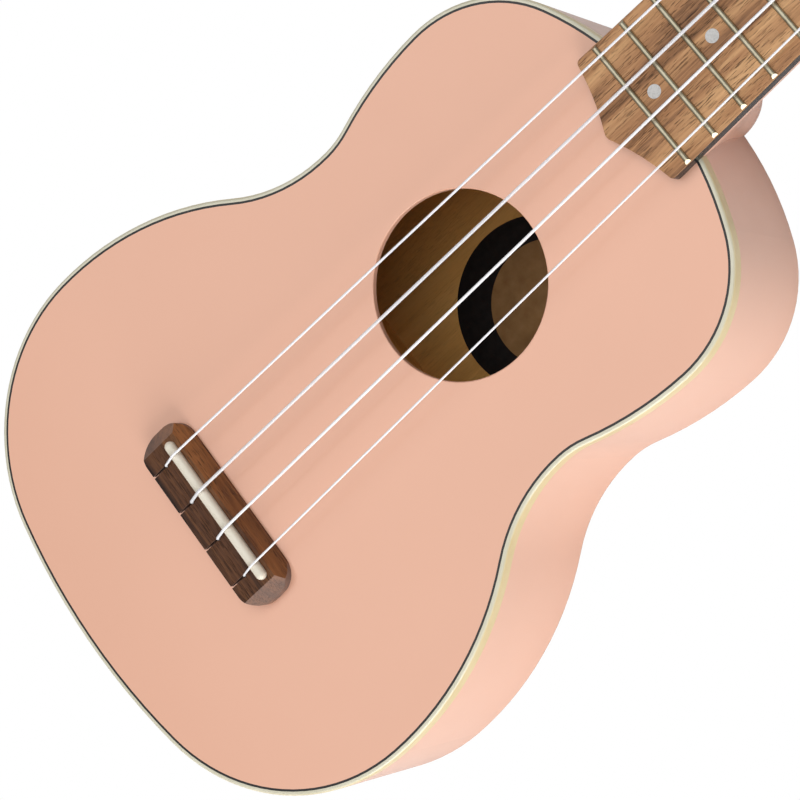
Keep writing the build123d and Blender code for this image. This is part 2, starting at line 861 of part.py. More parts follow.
with BuildPart() as throat_cut:
    with BuildSketch(head_plane.offset(2 * head_edge_radius)):
        with Locations((0, (head_scoop_length - head_root_length) / 2)):
            Rectangle(2 * head_width_high, head_scoop_length + head_root_length)
    extrude(amount=-2 * head_thickness)
    add(throat.part, mode=Mode.SUBTRACT)

with BuildPart() as headstock:
    with BuildSketch(head_plane) as head_face:
        with BuildLine():
            Polyline(
                (0, head_length),
                (0, -head_root_length),
                (throat_half_width, -head_root_length),
                (throat_half_width, head_neck_length),
                (head_width_low / 2, head_shoulder_length),
                (head_width_high / 2, flank_end),
            )
            SagittaArc((head_width_high / 2, flank_end), (0, head_length), -head_crown_hollow)
        make_face()
        mirror(about=Plane.YZ)
        for level, radius in (
            (head_neck_length, head_throat_radius),
            (head_shoulder_length, head_shoulder_radius),
            (flank_end, head_corner_radius),
        ):
            fillet(head_face.vertices().filter_by_position(Axis.Y, level - 0.1, level + 0.1), radius)
    extrude(amount=-head_thickness)
    rims = headstock.edges().filter_by(
        lambda edge: abs((edge % 0.5).dot(head_plane.z_dir)) < 0.01
        and head_plane.to_local_coords(edge @ 0.5).Y > -head_root_length + 0.1
    )
    fillet(rims, head_edge_radius)
    add(throat_cut.part, mode=Mode.SUBTRACT)

with BuildPart() as heel:
    widths = (*heel_half_widths, heel_end_half_width)
    lengths = (*heel_lengths, heel_end_length)
    levels = (*heel_levels, body_depth - back_thickness)
    for level, across, along in zip(levels, widths, lengths):
        with BuildSketch(Plane.XY.offset(top_z - level)):
            with Locations((0, head_y)):
                Ellipse(across, along)
    loft()
    fillet(heel.edges().group_by(Axis.Z)[0], heel_edge_radius)

with BuildPart() as neck:
    shaft_ends = (
        (nut_rear_y, throat_half_width, neck_depth_at_nut),
        (head_y - side_thickness, board_width(head_y) / 2 - neck_edge_inset, neck_depth_at_heel),
    )
    for y, across, depth in shaft_ends:
        add(neck_section(Plane.XZ.offset(-y).shift_origin((0, y, top_z)), across, depth))
    loft()
    add(heel.part)
    add(headstock.part)
    add(body_prism(0, -1, body_depth + 1), mode=Mode.SUBTRACT)
    add(dowel_bores(), mode=Mode.SUBTRACT)
    with BuildSketch(Plane.XY.offset(top_z)):
        with Locations((0, nut_y)):
            Rectangle(board_width_at_nut, 2 * nut_length)
    extrude(amount=head_thickness, mode=Mode.SUBTRACT)
    for index in range(len(string_names)):
        x, y = post_place(index)
        with BuildSketch(head_plane):
            with Locations((x, y)):
                Circle(ferrule_sleeve_diameter / 2 + fitted_clearance)
        extrude(amount=-ferrule_sleeve_length, mode=Mode.SUBTRACT)
        with BuildSketch(head_plane):
            with Locations((x, y)):
                Circle(post_diameter / 2 + post_bore_clearance)
        extrude(amount=-head_thickness, mode=Mode.SUBTRACT)
        with BuildSketch(head_plane.offset(head_back)):
            with Locations((x, y + low_screw_from_post), (x, y + high_screw_from_post)):
                Circle(plate_screw_diameter / 2 + fitted_clearance)
        extrude(amount=plate_screw_length - plate_thickness, mode=Mode.SUBTRACT)
save(neck, "neck")


# ---------------------------------------------------------------------- tuners


def post_plane(index):
    """Upright plane through a post's axis; its y is the height above the face."""
    x, y = post_place(index)
    return Plane(origin=local_place(x, y, 0), x_dir=(1, 0, 0), z_dir=-head_plane.y_dir)


def post_axis(index):
    """Axis of a post, pointing out of the headstock's face."""
    x, y = post_place(index)
    return Axis(local_place(x, y, 0), head_plane.z_dir)


def revolved(index, profile):
    """Solid turned about a post's axis from a list of radius and height corners."""
    with BuildPart(mode=Mode.PRIVATE) as turned:
        with BuildSketch(post_plane(index)):
            with BuildLine():
                Polyline(*profile, close=True)
            make_face()
        revolve(axis=post_axis(index))
    return turned.part


def screw(plane, diameter, length, head_diameter, head_height):
    """Slotted pan-head screw with its head on a plane and its shank running into it."""
    with BuildPart(mode=Mode.PRIVATE) as body:
        with BuildSketch(plane):
            Circle(head_diameter / 2)
        extrude(amount=head_height)
        rim = body.edges().sort_by(Axis(plane.origin, plane.z_dir))[-1]
        fillet(rim, screw_edge_radius)
        with BuildSketch(plane.offset(head_height)):
            Rectangle(head_diameter, screw_slot_width)
        extrude(amount=-screw_slot_depth, mode=Mode.SUBTRACT)
        with BuildSketch(plane):
            Circle(diameter / 2)
        extrude(amount=-length)
    return body.part


def downward_plane(x, y, height):
    """Plane at a place on the headstock's back, facing away from it."""
    return Plane(origin=local_place(x, y, height), x_dir=(1, 0, 0), z_dir=-head_plane.z_dir)


with BuildPart() as tuner_ferrules:
    for index in range(len(string_names)):
        bore = post_diameter / 2 + running_clearance
        sleeve = ferrule_sleeve_diameter / 2
        flange = ferrule_flange_diameter / 2
        profile = (
            (bore, -ferrule_sleeve_length),
            (sleeve, -ferrule_sleeve_length),
            (sleeve, 0),
            (flange, 0),
            (flange, ferrule_flange_height - ferrule_edge_radius),
            (flange - ferrule_edge_radius, ferrule_flange_height),
            (bore, ferrule_flange_height),
        )
        add(revolved(index, profile))
save(tuner_ferrules, "tuner_ferrules")

with BuildPart() as plate_screws:
    for index in range(len(string_names)):
        x, y = post_place(index)
        for from_post in (low_screw_from_post, high_screw_from_post):
            screw_plane = downward_plane(x, y + from_post, plate_back)
            add(
                screw(
                    screw_plane,
                    plate_screw_diameter,
                    plate_screw_length,
                    plate_screw_head_diameter,
                    plate_screw_head_height,
                )
            )
save(plate_screws, "tuner_plate_screws")

for index, name in enumerate(string_names):
    x, y = post_place(index)
    side = math.copysign(1, x)
    worm_y = y + worm_from_post
    worm_plane = Plane(
        origin=local_place(x, worm_y, gear_middle),
        x_dir=-head_plane.y_dir,
        z_dir=(side, 0, 0),
    )

    with BuildPart() as plate:
        with BuildSketch(head_plane.offset(head_back)):
            low_edge = low_screw_from_post - plate_screw_inset
            high_edge = high_screw_from_post + plate_screw_inset
            with Locations((x, y + (low_edge + high_edge) / 2)):
                RectangleRounded(plate_width, high_edge - low_edge, plate_corner_radius)
            with Locations((x, y)):
                Circle(post_diameter / 2 + running_clearance, mode=Mode.SUBTRACT)
            with Locations((x, y + low_screw_from_post), (x, y + high_screw_from_post)):
                Circle(plate_screw_diameter / 2 + running_clearance, mode=Mode.SUBTRACT)
        extrude(amount=-plate_thickness)
        ear_reach = worm_shaft_diameter / 2 + ear_below_shaft
        for inner in (ear_inner, -ear_outer):
            with BuildSketch(worm_plane.offset(inner)):
                with BuildLine():
                    Polyline(
                        (0, -side * (plate_back - gear_middle)),
                        (ear_width / 2, -side * (plate_back - gear_middle)),
                        (ear_width / 2, side * ear_reach),
                        (-ear_width / 2, side * ear_reach),
                        (-ear_width / 2, -side * (plate_back - gear_middle)),
                        close=True,
                    )
                make_face()
                Circle(worm_shaft_diameter / 2 + running_clearance, mode=Mode.SUBTRACT)
            extrude(amount=ear_thickness)
    save(plate, f"tuner_plate_{name}")

    with BuildPart() as post:
        journal = post_diameter / 2
        waist = post_waist_diameter / 2
        stub = post_stub_diameter / 2
        waist_high = post_waist_low + post_waist_length
        profile = (
            (0, gear_bottom),
            (stub, gear_bottom),
            (stub, post_shoulder),
            (journal, post_shoulder),
            (journal, post_waist_low),
            (waist, post_waist_low + post_waist_slope),
            (waist, waist_high - post_waist_slope),
            (journal, waist_high),
            (journal, post_height - post_dome_height),
            (journal - post_dome_height, post_height),
            (0, post_height),
        )
        add(revolved(index, profile))
        flat_plane = head_plane.offset(gear_bottom)
        with BuildSketch(flat_plane):
            with Locations((x, y + stub - post_stub_flat + journal)):
                Rectangle(2 * journal, 2 * journal)
        extrude(amount=post_shoulder - gear_bottom, mode=Mode.SUBTRACT)
        with BuildSketch(flat_plane):
            with Locations((x, y)):
                Circle(gear_screw_diameter / 2 + fitted_clearance)
        extrude(amount=gear_screw_length, mode=Mode.SUBTRACT)
        hole_plane = Plane(origin=local_place(x, y, post_hole_height), z_dir=(1, 0, 0))
        with BuildSketch(hole_plane):
            Circle(post_hole_diameter / 2)
        extrude(amount=journal, both=True, mode=Mode.SUBTRACT)
    save(post, f"tuner_post_{name}")

    with BuildPart() as winding:
        turns_low = post_hole_height - (turns_below_hole + 0.5) * string_diameters[index]
        turns_high = post_hole_height + (turns_above_hole + 0.5) * string_diameters[index]
        bore = waist + winding_bore_gap
        profile = (
            (bore, turns_low),
            (winding_radius(index), turns_low),
            (winding_radius(index), turns_high),
            (bore, turns_high),
        )
        add(revolved(index, profile))
    save(winding, f"string_winding_{name}")

    with BuildPart() as gear:
        with BuildSketch(head_plane.offset(gear_bottom)):
            with Locations((x, y)):
                Circle(gear_root_radius)
                with PolarLocations(0, gear_teeth, gear_phase):
                    root = tooth_thickness / 2 + tooth_flank_slope * tooth_dedendum
                    tip = tooth_thickness / 2 - tooth_flank_slope * tooth_addendum
                    inside = gear_root_radius - tooth_addendum
                    Polygon(
                        (inside, -root),
                        (gear_root_radius, -root),
                        (gear_tip_radius, -tip),
                        (gear_tip_radius, tip),
                        (gear_root_radius, root),
                        (inside, root),
                        align=None,
                    )
        extrude(amount=gear_width)
        with BuildSketch(head_plane.offset(gear_top)):
            with Locations((x, y)):
                Circle(gear_hub_diameter / 2)
        extrude(amount=post_shoulder - gear_top)
        with BuildSketch(head_plane.offset(gear_bottom)):
            with Locations((x, y)):
                Circle(stub + fitted_clearance)
            with Locations((x, y + stub - post_stub_flat + fitted_clearance + journal)):
                Rectangle(2 * journal, 2 * journal, mode=Mode.SUBTRACT)
        extrude(amount=post_shoulder - gear_bottom, mode=Mode.SUBTRACT)
    save(gear, f"tuner_gear_{name}")

    with BuildPart() as gear_screw:
        screw_plane = downward_plane(x, y, gear_bottom)
        add(
            screw(
                screw_plane,
                gear_screw_diameter,
                gear_screw_length - fitted_clearance,
                gear_screw_head_diameter,
                gear_screw_head_height,
            )
        )
    save(gear_screw, f"tuner_gear_screw_{name}")

    button_start = head_half_width(worm_y) + button_from_head - abs(x)
    helix_place = worm_plane.offset(-worm_half_length).location
    helix = helix_place * Helix(worm_pitch, 2 * worm_half_length, thread_foot_radius)
    rise = worm_tip_radius - thread_foot_radius
    foot = tooth_thickness / 2 + tooth_flank_slope * (worm_pitch_radius - thread_foot_radius)
    crest = tooth_thickness / 2 - tooth_flank_slope * tooth_addendum
    with BuildPart() as worm:
        with BuildSketch(worm_plane.offset(-ear_outer - worm_shaft_overhang)):
            Circle(worm_shaft_diameter / 2)
        extrude(amount=ear_outer + worm_shaft_overhang + button_start + button_socket_depth)
        with BuildSketch(Plane(helix @ 0, x_dir=worm_plane.x_dir, z_dir=helix % 0)):
            Polygon((0, -foot), (rise, -crest), (rise, crest), (0, foot), align=None)
        sweep(path=helix, is_frenet=True)
    save(worm, f"tuner_worm_{name}")

    with BuildPart() as button:
        blade_plane = Plane(
            origin=local_place(x + side * button_start, worm_y, gear_middle),
            x_dir=(side, 0, 0),
            z_dir=head_plane.z_dir,
        )
        with BuildSketch(blade_plane) as blade:
            with BuildLine():
                Polyline(
                    (0, 0),
                    (0, button_neck_width / 2),
                    (button_neck_length, button_neck_width / 2),
                    (button_shoulder_length, button_width / 2),
                    (button_length, button_width / 2 - button_end_taper),
                    (button_length, 0),
                    close=True,
                )
            make_face()
            mirror(about=Plane.XZ)
            for reach, radius in (
                (button_neck_length, button_shoulder_radius),
                (button_shoulder_length, button_shoulder_radius),
                (button_length, button_corner_radius),
            ):
                fillet(blade.vertices().filter_by_position(Axis.X, reach - 0.1, reach + 0.1), radius)
        extrude(amount=button_thickness / 2, both=True)
        faces = button.faces().filter_by(blade_plane)
        fillet(faces.edges(), button_edge_radius)
        with BuildSketch(Plane(origin=blade_plane.origin, z_dir=(side, 0, 0))):
            Circle(worm_shaft_diameter / 2 + fitted_clearance)
        extrude(amount=button_socket_depth, mode=Mode.SUBTRACT)
    save(button, f"tuner_button_{name}")
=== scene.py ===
"""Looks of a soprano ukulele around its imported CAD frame: finishes, string coils, camera and light."""
import json
import math

import bpy
from mathutils import Matrix, Vector


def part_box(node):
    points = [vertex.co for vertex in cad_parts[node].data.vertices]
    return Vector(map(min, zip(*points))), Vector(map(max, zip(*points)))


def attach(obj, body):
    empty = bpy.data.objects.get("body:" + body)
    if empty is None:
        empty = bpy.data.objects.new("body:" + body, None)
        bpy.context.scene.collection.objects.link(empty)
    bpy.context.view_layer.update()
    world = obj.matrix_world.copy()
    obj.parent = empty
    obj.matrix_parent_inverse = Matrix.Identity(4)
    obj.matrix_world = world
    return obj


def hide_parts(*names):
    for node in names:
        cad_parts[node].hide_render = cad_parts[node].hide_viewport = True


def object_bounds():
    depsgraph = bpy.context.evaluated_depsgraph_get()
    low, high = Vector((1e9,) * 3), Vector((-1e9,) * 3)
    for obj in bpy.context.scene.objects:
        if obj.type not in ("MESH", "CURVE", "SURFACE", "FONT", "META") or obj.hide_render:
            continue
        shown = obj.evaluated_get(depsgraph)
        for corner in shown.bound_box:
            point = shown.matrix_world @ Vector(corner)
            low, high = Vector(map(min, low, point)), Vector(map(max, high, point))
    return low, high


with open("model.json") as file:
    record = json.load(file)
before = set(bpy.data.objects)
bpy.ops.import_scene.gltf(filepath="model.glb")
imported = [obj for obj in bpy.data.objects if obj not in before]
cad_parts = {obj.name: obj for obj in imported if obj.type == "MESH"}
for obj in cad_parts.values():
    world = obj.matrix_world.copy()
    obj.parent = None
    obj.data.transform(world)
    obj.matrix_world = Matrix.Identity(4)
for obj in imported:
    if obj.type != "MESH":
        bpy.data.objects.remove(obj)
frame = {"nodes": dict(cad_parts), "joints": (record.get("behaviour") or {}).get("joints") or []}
cad_low, cad_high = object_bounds()

MM = 0.001
MICRON = 0.000001

# Strings, in the order that they lie across the neck. Sizes are in millimetres and follow the CAD
# source. LEAD_GAP parts a string's fixed end from the lead of its turns, which move with the post.
STRINGS = ("g", "c", "e", "a")
STRING_DIAMETERS = (0.75, 1.0, 0.9, 0.65)
STRING_SPREAD_AT_SADDLE = 42.0
STRING_SPREAD_AT_NUT = 27.5
STRING_GAP = 0.05
SADDLE_GAP = 0.1
NUT_SLOT_DEPTH = 0.8
STRING_HOLE_FROM_REAR = 5.75
KNOT_HEIGHT = 2.0
KNOT_DIAMETER = 2.4
KNOT_BEND = 0.4
STRING_BEND = 0.8
POST_WAIST_DIAMETER = 4.8
POST_HOLE_HEIGHT = 5.25
TURNS_BELOW_HOLE = 2
TURNS_ABOVE_HOLE = 1
TURN_GAP = 0.02
END_CLEARANCE = 0.4
LEAD_GAP = 0.7

# How finely the strings' meshes are cut.
STRING_SIDES = 20
COIL_SIDES = 14
STEPS_PER_BEND = 8
STEPS_PER_TURN = 48

# Most of a noise texture's values lie between these two.
NOISE_LOW = 0.3
NOISE_HIGH = 0.7

# A roughness that crosses 0.27 leaves sharp-edged patches once the picture is denoised, so each
# finish stays at GLOSSY or above, or wholly below 0.27.
GLOSSY = 0.3
ROUGHNESS_SPREAD = 0.08


# ------------------------------------------------------------------ node helpers
def linear(red, green, blue):
    """Linear colour of a screen colour given as three numbers from 0 to 255."""
    channels = []
    for value in (red, green, blue):
        share = value / 255
        channels.append(share / 12.92 if share <= 0.04045 else ((share + 0.055) / 1.055) ** 2.4)
    return (*channels, 1.0)


class Finish:
    """A material under construction: its nodes, and short ways to join them."""

    def __init__(self, name, settings=None):
        self.material = bpy.data.materials.new(name)
        self.material.use_nodes = True
        self.tree = self.material.node_tree
        self.shader = self.tree.nodes["Principled BSDF"]
        for label, value in (settings or {}).items():
            self.shader.inputs[label].default_value = value

    def node(self, kind, **settings):
        made = self.tree.nodes.new(kind)
        for label, value in settings.items():
            setattr(made, label, value)
        return made

    def join(self, source, target):
        self.tree.links.new(source, target)

    def place(self):
        """Position on the piece, in metres, in the frame that its body moves in."""
        return self.node("ShaderNodeTexCoord").outputs["Object"]

    def facing(self):
        """Direction that the surface faces, in the same frame."""
        return self.node("ShaderNodeTexCoord").outputs["Normal"]

    def split(self, vector):
        apart = self.node("ShaderNodeSeparateXYZ")
        self.join(vector, apart.inputs[0])
        return apart.outputs

    def stretched(self, vector, scale, offset=(0, 0, 0)):
        """The place with each axis multiplied, so that noise is drawn out along a grain."""
        mapping = self.node("ShaderNodeMapping")
        mapping.inputs["Scale"].default_value = scale
        mapping.inputs["Location"].default_value = offset
        self.join(vector, mapping.inputs["Vector"])
        return mapping.outputs[0]

    def noise(self, vector, scale, detail=2.0, roughness=0.5, distortion=0.0):
        texture = self.node("ShaderNodeTexNoise")
        texture.inputs["Scale"].default_value = scale
        texture.inputs["Detail"].default_value = detail
        texture.inputs["Roughness"].default_value = roughness
        texture.inputs["Distortion"].default_value = distortion
        self.join(vector, texture.inputs["Vector"])
        return texture.outputs["Fac"]

    def math(self, operation, first, second=None, third=None):
        sum_node = self.node("ShaderNodeMath", operation=operation)
        for socket, value in zip(sum_node.inputs, (first, second, third)):
            if isinstance(value, (int, float)):
                socket.default_value = value
            elif value is not None:
                self.join(value, socket)
        return sum_node.outputs[0]

    def ranged(self, value, low, high, new_low=0.0, new_high=1.0):
        """value's stretch from low to high, spread over new_low to new_high."""
        reach = self.node("ShaderNodeMapRange")
        for label, number in zip(
            ("From Min", "From Max", "To Min", "To Max"), (low, high, new_low, new_high)
        ):
            reach.inputs[label].default_value = number
        self.join(value, reach.inputs["Value"])
        return reach.outputs[0]

    def ramp(self, value, *stops):
        """Colour along a list of (place, colour) stops."""
        ramp = self.node("ShaderNodeValToRGB")
        points = ramp.color_ramp.elements
        while len(points) < len(stops):
            points.new(0.5)
        for point, (place, colour) in zip(points, stops):
            point.position = place
            point.color = colour
        self.join(value, ramp.inputs[0])
        return ramp.outputs[0]

    def varied(self, noise, low, high):
        """A noise's usual stretch, spread over low to high."""
        return self.ranged(noise, NOISE_LOW, NOISE_HIGH, low, high)

    def shaded(self, noise, dark, light):
        """A noise's usual stretch, coloured from dark to light."""
        return self.ramp(noise, (NOISE_LOW, dark), (NOISE_HIGH, light))

    def mix(self, share, first, second, blend="MIX"):
        """Two colours or colour sockets mixed by a share."""
        blender = self.node("ShaderNodeMix", data_type="RGBA", blend_type=blend)
        # Inputs 6 and 7 are the node's two colours; those between are for plain numbers and vectors.
        sockets = (blender.inputs[0], blender.inputs[6], blender.inputs[7])
        for socket, value in zip(sockets, (share, first, second)):
            if isinstance(value, (int, float, tuple)):
                socket.default_value = value
            else:
                self.join(value, socket)
        return blender.outputs[2]

    def colour(self, socket):
        self.join(socket, self.shader.inputs["Base Color"])

    def roughness(self, socket):
        self.join(socket, self.shader.inputs["Roughness"])

    def bump(self, height, distance, strength=1.0):
        """Relief of the given depth in metres."""
        relief = self.node("ShaderNodeBump")
        relief.inputs["Strength"].default_value = strength
        relief.inputs["Distance"].default_value = distance
        self.join(height, relief.inputs["Height"])
        self.join(relief.outputs[0], self.shader.inputs["Normal"])


def drawn_out(along, share):
    """Scale that stretches a texture along one axis, down to a share of its pitch across it."""
    scale = [1.0, 1.0, 1.0]
    scale[along] = share
    return scale


def wood_colour(finish, along, dark, middle, light, seed=0.0, pore_shade=0.45):
    """Plain sliced wood drawn out along an axis: slow bands, fibres and short dark pores.

    Gives the colour, and a relief in which fibres stand up and pores sink in.
    """
    place = finish.place()
    bands_place = finish.stretched(place, drawn_out(along, 0.07), (seed, seed, seed))
    fibre_place = finish.stretched(place, drawn_out(along, 0.02), (seed, 0, seed))
    pore_place = finish.stretched(place, drawn_out(along, 0.07), (0, seed, seed))
    bands = finish.noise(bands_place, scale=150, detail=5, roughness=0.55, distortion=0.6)
    fibres = finish.noise(fibre_place, scale=1500, detail=3, roughness=0.6)
    pores = finish.noise(pore_place, scale=3600, detail=1)
    pore_zones = finish.noise(bands_place, scale=260, detail=2)
    pore_mask = finish.math(
        "MULTIPLY", finish.ranged(pores, 0.56, 0.66), finish.ranged(pore_zones, 0.35, 0.6, 0.3, 1.0)
    )
    streaks = finish.math("MULTIPLY", finish.math("SUBTRACT", fibres, 0.5), 0.35)
    base = finish.ramp(finish.math("ADD", bands, streaks), (0.30, dark), (0.48, middle), (0.72, light))
    shade = finish.ranged(pore_mask, 0.0, 1.0, 1.0, pore_shade)
    wood = finish.mix(1.0, base, shade, "MULTIPLY")
    relief = finish.math("SUBTRACT", finish.math("MULTIPLY", fibres, 0.4), pore_mask)
    return wood, relief


# --------------------------------------------------------------------- finishes
PINK_TOP = linear(235, 180, 153)
# Painted light: the body pink is the top's pink made a little lighter, standing in for the brighter
# light on the sides; the back and neck share it.
PINK_BODY_LIT = linear(240, 186, 159)
SATIN = 0.36
TOP_COAT = 0.35
BODY_COAT = 0.8
BARE_DARK = linear(214, 160, 84)
BARE_MIDDLE = linear(230, 176, 96)
BARE_LIGHT = linear(238, 186, 108)
BARE_PORES = 0.88
STRING_CLEARNESS = 0.08
C_STRING_CLEARNESS = 0.3


def lacquer(name, pink, roughness, coat_weight, bare=None):
    """Satin pink lacquer, and bare wood on the faces inside the body.

    bare is "above", "below" or "within": the faces that look up, down or at the middle.
    """
    unevenness = 0.03
    finish = Finish(name, {"Coat Weight": coat_weight, "Coat Roughness": 0.14})
    place = finish.place()
    drift = finish.noise(place, 14, 3)
    drift_share = 0.02
    paler = tuple(min(1.0, (1 + drift_share) * value) for value in pink[:3]) + (1.0,)
    deeper = tuple((1 - drift_share) * value for value in pink[:3]) + (1.0,)
    paint = finish.ramp(drift, (0.2, deeper), (0.8, paler))
    peel = finish.noise(place, 700, 2)
    rough = finish.varied(finish.noise(place, 60, 3), roughness - unevenness, roughness + unevenness)
    if bare is None:
        finish.colour(paint)
        finish.roughness(rough)
        finish.bump(peel, 12 * MICRON)
        return finish.material
    facing = finish.split(finish.facing())
    if bare == "within":
        spot = finish.split(place)
        outward = finish.math(
            "ADD",
            finish.math("MULTIPLY", facing[0], spot[0]),
            finish.math("MULTIPLY", facing[1], spot[1]),
        )
        share = finish.math("LESS_THAN", outward, 0.0)
    elif bare == "above":
        share = finish.math("GREATER_THAN", facing[2], 0.5)
    else:
        share = finish.math("LESS_THAN", facing[2], -0.5)
    wood, relief = wood_colour(finish, 1, BARE_DARK, BARE_MIDDLE, BARE_LIGHT, 0.0, BARE_PORES)
    finish.colour(finish.mix(share, paint, wood))
    finish.roughness(finish.math("MAXIMUM", rough, finish.math("MULTIPLY", share, 0.75)))
    grain = finish.math("MULTIPLY", relief, share)
    finish.bump(finish.math("ADD", finish.math("MULTIPLY", peel, 0.1), grain), 80 * MICRON)
    return finish.material


def bridge_walnut():
    """Dark walnut along the bridge, with painted light: its front slope is painted paler and redder
    where it faces the light, and its cut ends carry a painted grey sheen.
    """
    finish = Finish("bridge_walnut", {"Specular IOR Level": 0.25})
    slope_light_gain = (1.7, 1.62, 1.55, 1.0)
    wood, relief = wood_colour(
        finish, 0, linear(38, 20, 11), linear(84, 50, 28), linear(124, 80, 46), seed=4.1
    )
    # Painted light: faces turned towards the neck get a paler, redder lit copy of the wood, and faces
    # turned sideways get a painted grey sheen.
    facing = finish.split(finish.facing())
    slope = finish.ranged(facing[1], 0.12, 0.3)
    ends = finish.ranged(finish.math("ABSOLUTE", facing[0]), 0.15, 0.3)
    lit_slope = finish.mix(1.0, wood, slope_light_gain, "MULTIPLY")
    grey = finish.mix(0.5, lit_slope, linear(142, 124, 116))
    finish.colour(finish.mix(ends, finish.mix(slope, wood, lit_slope), grey))
    rough = finish.ranged(relief, -1.0, 0.4, 0.62, 0.4)
    finish.roughness(finish.math("MAXIMUM", rough, finish.math("MULTIPLY", ends, 0.7)))
    finish.bump(relief, 80 * MICRON)
    return finish.material


def bare_wood(name, along):
    """Unfinished wood of the blocks, linings and braces."""
    finish = Finish(name)
    wood, relief = wood_colour(finish, along, BARE_DARK, BARE_MIDDLE, BARE_LIGHT, 3.0, BARE_PORES)
    finish.colour(wood)
    finish.roughness(finish.ranged(relief, -1.0, 0.4, 0.9, 0.7))
    finish.bump(relief, 100 * MICRON)
    return finish.material


def board_walnut():
    """Oiled open-pored walnut along the neck, with flanks stained black."""
    finish = Finish("board_walnut", {"Specular IOR Level": 0.35})
    dark, middle, light = linear(88, 56, 35), linear(176, 126, 84), linear(218, 170, 120)
    wood, relief = wood_colour(finish, 1, dark, middle, light, seed=1.7, pore_shade=0.34)
    facing = finish.split(finish.facing())
    flank = finish.math("LESS_THAN", finish.math("ABSOLUTE", facing[2]), 0.5)
    streaks = finish.noise(finish.stretched(finish.place(), drawn_out(1, 0.05)), 900, 4)
    stain = finish.ramp(streaks, (0.4, linear(14, 14, 15)), (0.75, linear(48, 46, 45)))
    polish = finish.varied(finish.noise(finish.place(), 300, 3), 0.14, 0.25)
    rough = finish.ranged(relief, -1.0, 0.4, 0.75, 0.48)
    finish.colour(finish.mix(flank, wood, stain))
    finish.roughness(finish.mix(flank, rough, polish))
    finish.bump(relief, 60 * MICRON)
    return finish.material


def binding():
    """Cream plastic edging, with painted shade: its side is given a yellower tone than its top, chosen
    by the way each face looks.
    """
    finish = Finish("binding", {"Coat Weight": 0.4, "Coat Roughness": 0.08})
    facing = finish.split(finish.facing())
    up = finish.ranged(facing[2], 0.25, 0.9)
    cloud = finish.noise(finish.place(), 70, 4)
    # Painted shade: the side and top tones below differ only by facing, as shaded and lit copies of one
    # cream.
    side = finish.shaded(cloud, linear(218, 194, 136), linear(230, 211, 160))
    top = finish.shaded(cloud, linear(207, 202, 178), linear(218, 213, 192))
    finish.colour(finish.mix(up, side, top))
    finish.roughness(finish.varied(cloud, GLOSSY, GLOSSY + ROUGHNESS_SPREAD))
    finish.bump(finish.noise(finish.place(), 500, 2), 10 * MICRON)
    return finish.material


def plastic(name, dark, light, coat_weight=0.0):
    """Moulded plastic with a faint cloud in its tone."""
    finish = Finish(name, {"Coat Weight": coat_weight, "Coat Roughness": 0.1})
    cloud = finish.noise(finish.place(), 120, 4)
    finish.colour(finish.shaded(cloud, dark, light))
    finish.roughness(finish.varied(cloud, GLOSSY, GLOSSY + ROUGHNESS_SPREAD))
    finish.bump(finish.noise(finish.place(), 1600, 2), 6 * MICRON)
    return finish.material


def pearl(name, dark, light, scale):
    """Pearl: soft curling bands between two tones."""
    finish = Finish(name, {"Coat Weight": 0.5, "Coat Roughness": 0.06})
    place = finish.place()
    curls = finish.noise(place, scale, 5, 0.6, 2.2)
    finish.colour(finish.ramp(curls, (0.32, dark), (0.5, light), (0.66, dark)))
    finish.roughness(finish.varied(curls, GLOSSY, 0.4))
    finish.bump(curls, 10 * MICRON)
    return finish.material


def metal(name, dark, light, brush=(1, 1, 1)):
    """Metal with fine brush marks and a slow change in its polish."""
    finish = Finish(name, {"Metallic": 1.0})
    place = finish.place()
    marks = finish.noise(finish.stretched(place, brush), 900, 3)
    bloom = finish.noise(place, 160, 3)
    finish.colour(finish.shaded(bloom, dark, light))
    polish = finish.varied(bloom, GLOSSY, GLOSSY + ROUGHNESS_SPREAD)
    finish.roughness(finish.math("ADD", polish, finish.math("MULTIPLY", marks, ROUGHNESS_SPREAD)))
    finish.bump(marks, 8 * MICRON)
    return finish.material


def nylon(name, clearness):
    """Milky white nylon that lets a share of the light through."""
    finish = Finish(name, {"Transmission Weight": clearness, "IOR": 1.53, "Coat Weight": 0.3})
    cloud = finish.noise(finish.stretched(finish.place(), drawn_out(1, 0.02)), 120, 2)
    finish.colour(finish.shaded(cloud, linear(244, 244, 250), linear(253, 253, 255)))
    finish.roughness(finish.varied(cloud, GLOSSY, GLOSSY + ROUGHNESS_SPREAD))
    return finish.material


def label_paper(centre, radius):
    """Plain paper disc with one broad dark ring, wider towards one side.

    The ring's middle is moved from the disc's, and its start and edge are shares of the radius.
    """
    moved = (0.1, 0.12)
    ring_start = 0.725
    ring_edge = 0.005
    finish = Finish("label_paper", {"Specular IOR Level": 0.2})
    place = finish.place()
    spot = finish.split(place)
    x = finish.math("SUBTRACT", spot[0], centre.x + moved[0] * radius)
    y = finish.math("SUBTRACT", spot[1], centre.y + moved[1] * radius)
    squares = finish.math("ADD", finish.math("MULTIPLY", x, x), finish.math("MULTIPLY", y, y))
    reach = finish.math("SQRT", squares)
    ring = finish.ranged(reach, ring_start * radius, (ring_start + ring_edge) * radius)
    paper = finish.shaded(finish.noise(place, 260, 5), linear(140, 104, 62), linear(160, 122, 78))
    ink = finish.shaded(finish.noise(place, 400, 3), linear(16, 12, 12), linear(28, 22, 20))
    finish.colour(finish.mix(ring, paper, ink))
    finish.roughness(finish.varied(finish.noise(place, 500, 3), 0.6, 0.75))
    finish.bump(finish.noise(place, 3000, 3), 20 * MICRON)
    return finish.material


def coat(nodes, material):
    """Gives CAD nodes a finish."""
    for node in nodes:
        piece = frame["nodes"][node]
        piece.data.materials.clear()
        piece.data.materials.append(material)


